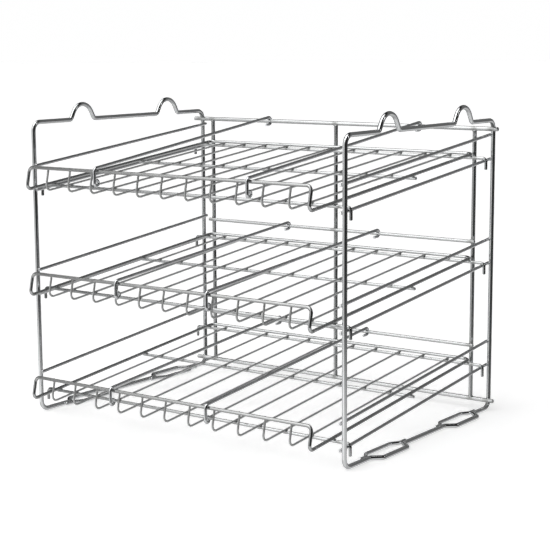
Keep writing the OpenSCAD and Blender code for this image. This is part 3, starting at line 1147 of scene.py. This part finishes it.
def make_world():
    """A studio lit by its left wall and by a wide panel over and before the rack, with a pale floor.

    x, y and z are the parts of a unit direction, so each ramp is the soft edge of one of its surfaces.
    """
    world = bpy.data.worlds.new("studio")
    world.use_nodes = True
    bpy.context.scene.world = world
    nodes = Nodes(world.node_tree)
    looking = nodes.node("ShaderNodeTexCoord", output="Generated")
    x, y, z = nodes.split(looking)
    left_edge = x.ramp(-0.71, -0.56)
    right_edge = x.ramp(0.30, 0.10)
    rear_edge = y.ramp(0.30, -0.25)
    left_wall = x.ramp(-0.90, -0.97)
    front_gap = 1 - FRONT_DIMMING * y.ramp(-0.84, -0.92)
    panel = (left_edge * right_edge * rear_edge * front_gap + left_wall) * z.ramp(-0.45, -0.20)
    floor = z.ramp(-0.18, -0.30) * (FLOOR_LIGHT + FLOOR_LIGHT_UNDER_PANEL * left_edge * rear_edge)
    rear_wall = y.ramp(0.45, 0.75) * REAR_WALL_LIGHT
    light = AMBIENT + panel * PANEL_LIGHT + floor + rear_wall
    nodes.tree.links.new(light.socket, nodes.tree.nodes["Background"].inputs["Color"])


# ---------------------------------------------------------------- operators


class RACK_OT_stage(bpy.types.Operator):
    """Set up the floor, the studio light and the camera"""

    bl_idname = "rack.stage"
    bl_label = "Stage"

    def execute(self, context):
        make_camera()
        make_floor()
        make_backdrop()
        make_lights()
        make_world()
        context.scene.view_settings.view_transform = "Standard"
        return {"FINISHED"}


class RACK_OT_side_frames(bpy.types.Operator):
    """Bend the two side frames with their loops and eyes"""

    bl_idname = "rack.side_frames"
    bl_label = "Side frames"

    def execute(self, context):
        for side in SIDES:
            frame_loop(side)
            frame_eyes(side)
        return {"FINISHED"}


class RACK_OT_side_rails(bpy.types.Operator):
    """Weld the guard rails and shelf rails to the side frames"""

    bl_idname = "rack.side_rails"
    bl_label = "Side rails"

    def execute(self, context):
        for side in SIDES:
            for level in LEVELS:
                for kind in ("guard", "shelf"):
                    sloping_rail(f"{side}_{level}_{kind}_rail")
            rail_welds(side)
        return {"FINISHED"}


class RACK_OT_shelves(bpy.types.Operator):
    """Make the three sloping shelves"""

    bl_idname = "rack.shelves"
    bl_label = "Shelves"

    def execute(self, context):
        for level in LEVELS:
            shelf_rim(level)
            shelf_slats(level)
            hooked_cross(level, "front")
            plain_cross(level)
            hooked_cross(level, "rear")
            shelf_welds(level)
        return {"FINISHED"}


class RACK_OT_back_panel(bpy.types.Operator):
    """Make the back panel"""

    bl_idname = "rack.back_panel"
    bl_label = "Back panel"

    def execute(self, context):
        panel_wires()
        panel_welds()
        return {"FINISHED"}


class RACK_OT_dividers(bpy.types.Operator):
    """Bend the loose dividers"""

    bl_idname = "rack.dividers"
    bl_label = "Dividers"

    def execute(self, context):
        for level in LEVELS:
            for side in SIDES:
                divider(level, side)
        return {"FINISHED"}


OPERATORS = (
    RACK_OT_stage,
    RACK_OT_side_frames,
    RACK_OT_side_rails,
    RACK_OT_shelves,
    RACK_OT_back_panel,
    RACK_OT_dividers,
)


class RACK_PT_sidebar(bpy.types.Panel):
    """The rack's pieces and sizes"""

    bl_label = "Can Rack"
    bl_idname = "RACK_PT_sidebar"
    bl_space_type = "VIEW_3D"
    bl_region_type = "UI"
    bl_category = "Can Rack"

    def draw(self, context):
        for operator in OPERATORS:
            self.layout.operator(operator.bl_idname)
        for name, group in SETTINGS.items():
            box = self.layout.box()
            box.label(text=group.__doc__)
            for key in group.__annotations__:
                box.prop(getattr(context.scene, name), key)


CLASSES = (*SETTINGS.values(), *OPERATORS, RACK_PT_sidebar)


def register():
    for cls in CLASSES:
        bpy.utils.register_class(cls)
    for name, group in SETTINGS.items():
        setattr(bpy.types.Scene, name, PointerProperty(type=group))


def unregister():
    for name in SETTINGS:
        delattr(bpy.types.Scene, name)
    for cls in reversed(CLASSES):
        bpy.utils.unregister_class(cls)


def main():
    register()
    bpy.ops.rack.stage()
    bpy.ops.rack.side_frames()
    bpy.ops.rack.side_rails()
    bpy.ops.rack.shelves()
    bpy.ops.rack.back_panel()
    bpy.ops.rack.dividers()


if __name__ == "__main__":
    main()
